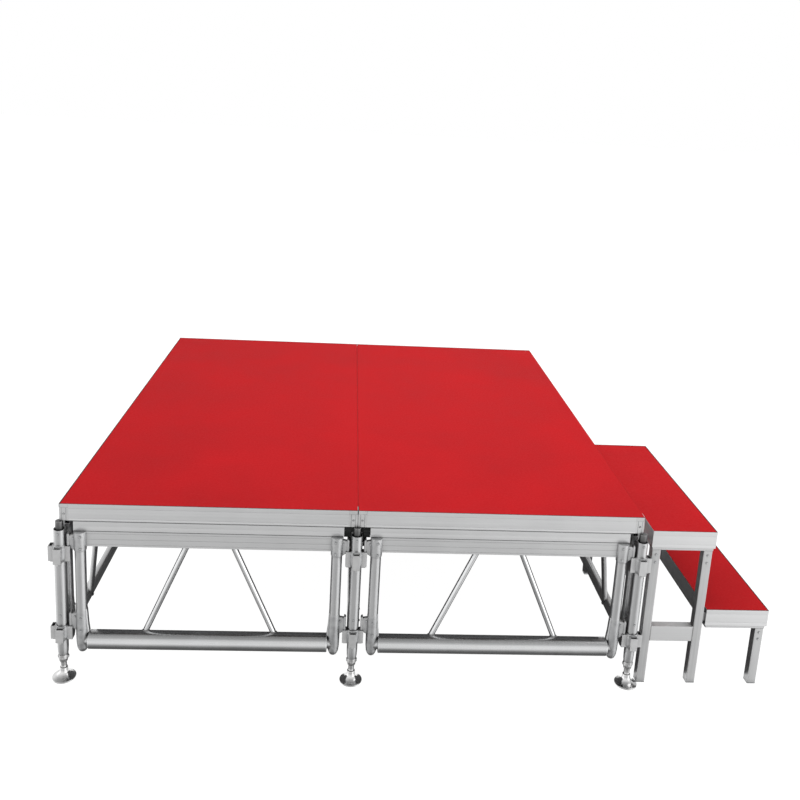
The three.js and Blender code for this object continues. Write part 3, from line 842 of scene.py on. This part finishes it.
for side in ("left", "right"):
    body = f"deck_{side}"
    lo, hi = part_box(f"deck_{side}_board")
    a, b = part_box(f"deck_{side}_front_edge")
    left, right, front = a.x, b.x, a.y
    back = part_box(f"deck_{side}_back_edge")[1].y
    width, length = right - left, back - front

    board = Piece(f"deck_{side}_panel")
    lay_board(board, lo, hi)
    board.build(body, "red_board", [f"deck_{side}_board"])

    ends = (("front", shift(left, front, 0)), ("back", shift(right, back, 0) @ spin(180)))
    for edge, place in ends:
        piece = Piece(f"deck_{side}_{edge}_profile")
        x0, x1 = CASTING - 0.001, width - CASTING + 0.001
        edge_profile(piece, place, x0, x1, SKIRT_CUT, width - SKIRT_CUT)
        if edge == "back":
            edge_tape(piece, place, 0.0003, width - 0.0003, DECK_TOP)
        corner_casting(piece, place)
        corner_casting(piece, place @ shift(width) @ spin(90))
        seam_at = width if (side == "left") == (edge == "front") else 0
        away = -1 if seam_at else 1
        # painted shade: dark blocks filling the notch at the seam
        for corners in SEAM_SHADE_PADS:
            p, q = ((seam_at + away * x, y, z) for x, y, z in corners)
            piece.add(block("x", p, q, 0.0008), "shade_pad", place)
        piece.build(body, "mill_aluminium", [f"deck_{side}_{edge}_edge"])
    gap = CASTING + 0.0003
    sides = (("left", shift(left, back, 0) @ spin(-90)), ("right", shift(right, front, 0) @ spin(90)))
    for edge, place in sides:
        piece = Piece(f"deck_{side}_{edge}_profile")
        # red at the seam and beside the stair, dark at the outer left edge
        strip = "trim" if side == edge == "left" else "seam"
        edge_profile(piece, place, gap, length - gap, SKIRT_CUT, length - SKIRT_CUT, strip)
        if side == edge == "left":
            edge_tape(piece, place, TAPE_W + 0.0001, length - 0.0003, DECK_TOP)
        piece.build(body, "mill_aluminium", [f"deck_{side}_{edge}_edge"])
    for i in (1, 2):
        lo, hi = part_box(f"deck_{side}_beam_{i}")
        piece = Piece(f"deck_{side}_crossbeam_{i}")
        x0, x1 = left + gap, right - gap
        piece.add(square_tube("x", (x0, lo.y, lo.z + 0.005), (x1, hi.y, hi.z), 0.0028, 0.0025), "mill")
        flange = block("x", (lo.x, lo.y + 0.001, lo.z), (hi.x, hi.y - 0.001, lo.z + 0.0058), 0.001)
        piece.add(flange, "mill")
        for x in (lo.x + 0.014, hi.x - 0.014):
            for y in (lo.y + 0.010, hi.y - 0.010):
                piece.add(bolt((x, y, lo.z + 0.0054), (0, 0, 1), 0.0042), "bolt")
        piece.build(body, "mill_aluminium", [f"deck_{side}_beam_{i}"])


# ---------------------------------------------------------------- stair
TREAD_H, UNDER_H, UNDER_IN, UNDER_W, LEDGE = 0.078, 0.014, 0.006, 0.040, 0.0153


def tread(name):
    """One tread: a mitred rim, a frame of tubes under it, two cross tubes and the board."""
    lo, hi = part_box(f"stair_{name}_tread_frame")
    top, low = hi.z, hi.z - TREAD_H
    piece = Piece(f"stair_{name}_rim")
    # four mitred lengths of edge profile
    outline = [(0.0005, top - 0.0011), (LIP, top - 0.0011), (LIP, top - LEDGE), (0.020, top - LEDGE),
               (0.020, top - 0.0190), (0.004, top - 0.0190), (0.004, low + 0.004), (0.030, low + 0.004),
               (0.030, low), (0.0010, low), (0, low + 0.0010)]
    outline += notch(top - 0.062)[::-1] + notch(top - 0.021)[::-1] + [(0, top - 0.0017)]
    corners = [(lo.x, lo.y), (hi.x, lo.y), (hi.x, hi.y), (lo.x, hi.y)]
    for i, (x, y) in enumerate(corners):
        x2, y2 = corners[(i + 1) % 4]
        run = math.hypot(x2 - x, y2 - y)
        n = len(outline)
        points = [(d, z, d + 0.0001) for d, z in outline]
        points += [(d, z, run - d - 0.0001) for d, z in outline]
        faces = [tuple(range(n))[::-1], tuple(range(n, 2 * n))]
        faces += [(k, (k + 1) % n, n + (k + 1) % n, n + k) for k in range(n)]
        turn = shift(x, y, 0) @ spin(90 * i)
        piece.add(moved(shape(points, faces), TO_X), "tread", turn)
        strip = block("x", (0.0003, 0.0003, top - 0.0011), (run - LIP, LIP, top), 0.0004)
        piece.add(strip, "seam" if i == 3 else "trim", turn)
        if i in (1, 2):
            edge_tape(piece, turn, 0.0003 if i == 1 else TAPE_W + 0.0001, run - 0.0003, top)
    u, w = UNDER_IN, UNDER_W
    x0, x1, y0, y1 = lo.x + u, hi.x - u, lo.y + u, hi.y - u
    z0, z1 = low - UNDER_H, low + 0.0005
    for y in (y0, y1 - w):
        piece.add(square_tube("x", (x0, y, z0), (x1, y + w, z1), 0.0025, 0.0015), "rail")
    for x in (x0, x1 - w):
        piece.add(square_tube("y", (x, y0 + w, z0), (x + w, y1 - w, z1), 0.0025, 0.0015), "rail")
    for y in (lo.y + 0.30, lo.y + 0.62):
        a, b = (lo.x + 0.004, y - 0.015, low + 0.006), (hi.x - 0.004, y + 0.015, top - 0.0193)
        piece.add(square_tube("x", a, b, 0.002, 0.002), "mill")
    piece.build("stair", "mill_aluminium", [f"stair_{name}_tread_frame"])

    board = Piece(f"stair_{name}_tread")
    lay_board(board, *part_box(f"stair_{name}_tread_board"))
    board.build("stair", "red_board", [f"stair_{name}_tread_board"])


for name in ("upper", "lower"):
    tread(name)

UPPER_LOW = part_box("stair_upper_tread_frame")[0].z - 0.0003
LOWER_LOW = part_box("stair_lower_tread_frame")[0].z - 0.0003


def stair_leg(piece, lo, hi, top, drops):
    """A square leg on the cap between lo and hi, with a screw head at each drop below its top."""
    tube = square_tube("z", (lo.x, lo.y, hi.z + 0.0003), (hi.x, hi.y, top), 0.0025, 0.0035)
    piece.add(tube, "mill")
    for drop in drops:
        piece.add(bolt(((lo.x + hi.x) / 2, face_y, top - drop), (0, out, 0), 0.0042), "bolt")


for where in ("front", "back"):
    out = -1 if where == "front" else 1
    caps = {k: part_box(f"stair_cap_{k}_{where}") for k in ("inner", "outer", "lower")}
    side = Piece(f"stair_{where}_stand")
    face_y = caps["inner"][0].y if out < 0 else caps["inner"][1].y
    for k in ("inner", "outer"):
        stair_leg(side, *caps[k], UPPER_LOW, (0.022, 0.058))
    (a, b), (c, d) = caps["inner"], caps["outer"]
    start, end = (b.x + 0.0002, a.y + 0.001, 0.208), (c.x - 0.0002, b.y - 0.001, 0.280)
    side.add(square_tube("x", start, end, 0.0028, 0.003), "rail")
    for x in (b.x, c.x):
        loop = rectangle(-0.018, 0.018, -0.035, 0.035, 0.004, 4)
        path = [Vector((x, (a.y + b.y) / 2 + u, 0.244 + v)) for u, v in loop]
        side.add(bead(path, 0.0022), "weld")
    lower_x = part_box("stair_lower_tread_frame")[0].x
    start, end = (d.x - 0.001, a.y + 0.006, 0.308), (lower_x - 0.0003, b.y - 0.006, 0.350)
    side.add(block("x", start, end, 0.0015), "mill")
    side.build("stair", "mill_aluminium", [f"stair_upper_legs_{where}"])

    leg = Piece(f"stair_{where}_short_leg")
    stair_leg(leg, *caps["lower"], LOWER_LOW, (0.020, 0.052))
    leg.build("stair", "mill_aluminium", [f"stair_lower_leg_{where}"])

    for k, (lo, hi) in caps.items():
        cap = Piece(f"foot_cap_{k}_{where}")
        cap.add(block("z", lo, hi, 0.0022), "plastic")
        middle = (lo + hi) / 2
        half = 0.0155
        plug = rectangle(middle.x - half, middle.x + half, middle.y - half, middle.y + half, 0.002)
        cap.add(prism(plug, hi.z - 0.0005, hi.z + 0.016, 0.001), "plastic")
        cap.build("stair", "grey_cap", [f"stair_cap_{k}_{where}"])


# ---------------------------------------------------------------- studio
def staged(name, mesh):
    o = bpy.data.objects.new(name, mesh)
    SCENE.collection.objects.link(o)
    return o


def sheet_mesh(name, corners):
    mesh = bpy.data.meshes.new(name)
    mesh.from_pydata([tuple(c) for c in corners], [], [(0, 1, 2, 3)])
    return mesh


def floor():
    """A large pale sheet that glows evenly, so that it stays near white; reflections don't see it."""
    r, z = 60, -0.0005
    mesh = sheet_mesh("floor", [(-r, -r, z), (r, -r, z), (r, r, z), (-r, r, z)])
    p = material("pale_floor")
    cloud = p.noise(p.place(), 0.6, 2)
    p.set(Base_Color=p.mix(cloud, grey(0.17), grey(0.15)), Roughness=0.9)
    p.set(Emission_Color=(1, 1, 1, 1), Emission_Strength=0.97)
    mesh.materials.append(p.owner)
    staged("floor", mesh).visible_glossy = False


def softbox(name, at, aim, size, power):
    """A rectangular light, aimed at a point."""
    light = bpy.data.lights.new(name, "AREA")
    light.shape, light.size, light.size_y, light.energy = "RECTANGLE", size[0], size[1], power
    o = bpy.data.objects.new(name, light)
    SCENE.collection.objects.link(o)
    o.location = at
    o.rotation_euler = (Vector(aim) - Vector(at)).to_track_quat("-Z", "Y").to_euler()
    o.visible_camera = False


def card(name, corners):
    """A dark card that only reflections see."""
    mesh = sheet_mesh(name, corners)
    p = material(name)
    p.set(Base_Color=(0.075, 0.075, 0.077, 1), Roughness=0.9)
    mesh.materials.append(p.owner)
    o = staged(name, mesh)
    o.visible_camera = o.visible_diffuse = o.visible_shadow = False


def upright(name, a, b):
    """A dark card standing on the line from a to b."""
    card(name, [(*a, 0.02), (*b, 0.02), (*b, 0.70), (*a, 0.70)])


floor()
x0, x1 = leg_axis("front_left").x, leg_axis("front_right").x
y0, y1 = leg_axis("front_left").y, leg_axis("back_left").y
mx = (x0 + x1) / 2
# dark cards under the stage and round its inside, seen only in the metal's reflections
x2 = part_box("stair_lower_tread_frame")[1].x
for name, xa, xb, ya, yb in (
    ("front", x0, x2, y0 + 0.06, y0 + 0.55),
    ("left", x0, x0 + 0.45, y0 + 0.55, y1 - 0.06),
    ("right", x1 - 0.45, x2, y0 + 0.55, y1 - 0.06),
):
    card(f"card_under_{name}", [(xa, ya, 0.01), (xb, ya, 0.01), (xb, yb, 0.01), (xa, yb, 0.01)])
for i, x in enumerate((x0 + 0.13, x1 - 0.13)):
    upright(f"card_along_{i}", (x, y0 + 0.04), (x, y1 - 0.04))
for i, y in enumerate((y0 + 0.13, y1 - 0.13)):
    upright(f"card_across_{i}", (x0 + 0.13, y), (x1 - 0.13, y))

# the world is plain white, but for reflections, which see a height ramp and four soft lobes
SCENE.world = bpy.data.worlds.new("studio")
studio = Paint(SCENE.world, "Background")
direction = studio.node("ShaderNodeTexCoord", "Generated")
height = studio.node("ShaderNodeSeparateXYZ", "Z", {"Vector": direction})
ramp = studio.node("ShaderNodeValToRGB", "Color", {"Fac": studio.spread(height, -1, 1)})
stops = [(-1.0, 0.10), (-0.77, 0.20), (-0.57, 0.40), (-0.42, 0.68),
         (-0.12, 0.88), (0.38, 0.84), (0.78, 0.42), (1.0, 0.26)]
elements = ramp.node.color_ramp.elements
while len(elements) < len(stops):
    elements.new(0.5)
for element, (z, value) in zip(elements, stops):
    element.position, element.color = (z + 1) / 2, (value, value, value, 1)
pattern = ramp
for azimuth, power, rim in ((60, 0.75, 0.82), (-108, 0.60, 0.74), (165, 0.30, 0.74), (-50, 0.10, 0.74)):
    a = math.radians(azimuth)
    pair = {0: direction, 1: (math.sin(a) * 0.94, -math.cos(a) * 0.94, -0.34)}
    facing = studio.node("ShaderNodeVectorMath", "Value", pair, operation="DOT_PRODUCT")
    lobe = studio.maths("MULTIPLY", studio.spread(facing, rim, 0.95), power)
    pattern = studio.maths("ADD", pattern, lobe)
mirrored = studio.node("ShaderNodeLightPath", "Is Glossy Ray")
levels = {0: mirrored, 2: 1.0, 3: pattern}
strength = studio.node("ShaderNodeMix", 0, levels, data_type="FLOAT")
studio.set(Strength=strength, Color=(1, 1, 1, 1))

softbox("key", (mx + 0.6, 0.3, 3.0), (mx + 0.4, 0.2, 0.8), (2.4, 2.0), 18)
softbox("fill", (mx - 2.6, -2.6, 3.6), (mx, 0, 0.6), (2.2, 2.2), 1.0)
softbox("side", (mx + 3.2, -1.6, 3.2), (mx + 0.6, 0, 0.6), (2.0, 2.0), 10)

# camera: the photograph's standpoint, a little left of the middle and 2.5 m up
FOCAL_PX, YAW, PITCH, ROLL, SHIFT_PX = 840.82, 0.06349, 0.20826, 0.05448, 120
STAND = Vector((mx - 0.08418, -4.44297, 2.46999))
ahead = Vector((math.sin(YAW) * math.cos(PITCH), math.cos(YAW) * math.cos(PITCH), -math.sin(PITCH)))
sideways = Vector((math.cos(YAW), -math.sin(YAW), 0))
upward = sideways.cross(ahead)
camera_x = sideways * math.cos(ROLL) + upward * math.sin(ROLL)
camera_y = upward * math.cos(ROLL) - sideways * math.sin(ROLL)
IMAGE_PX, SENSOR_MM = 800, 36
lens = bpy.data.cameras.new("camera")
lens.sensor_width, lens.lens = SENSOR_MM, FOCAL_PX * SENSOR_MM / IMAGE_PX
lens.shift_y = -SHIFT_PX / IMAGE_PX
camera = bpy.data.objects.new("camera", lens)
SCENE.collection.objects.link(camera)
camera.matrix_world = Matrix.Translation(STAND) @ Matrix((camera_x, camera_y, -ahead)).transposed().to_4x4()
SCENE.camera = camera
SCENE.view_settings.view_transform = "Standard"
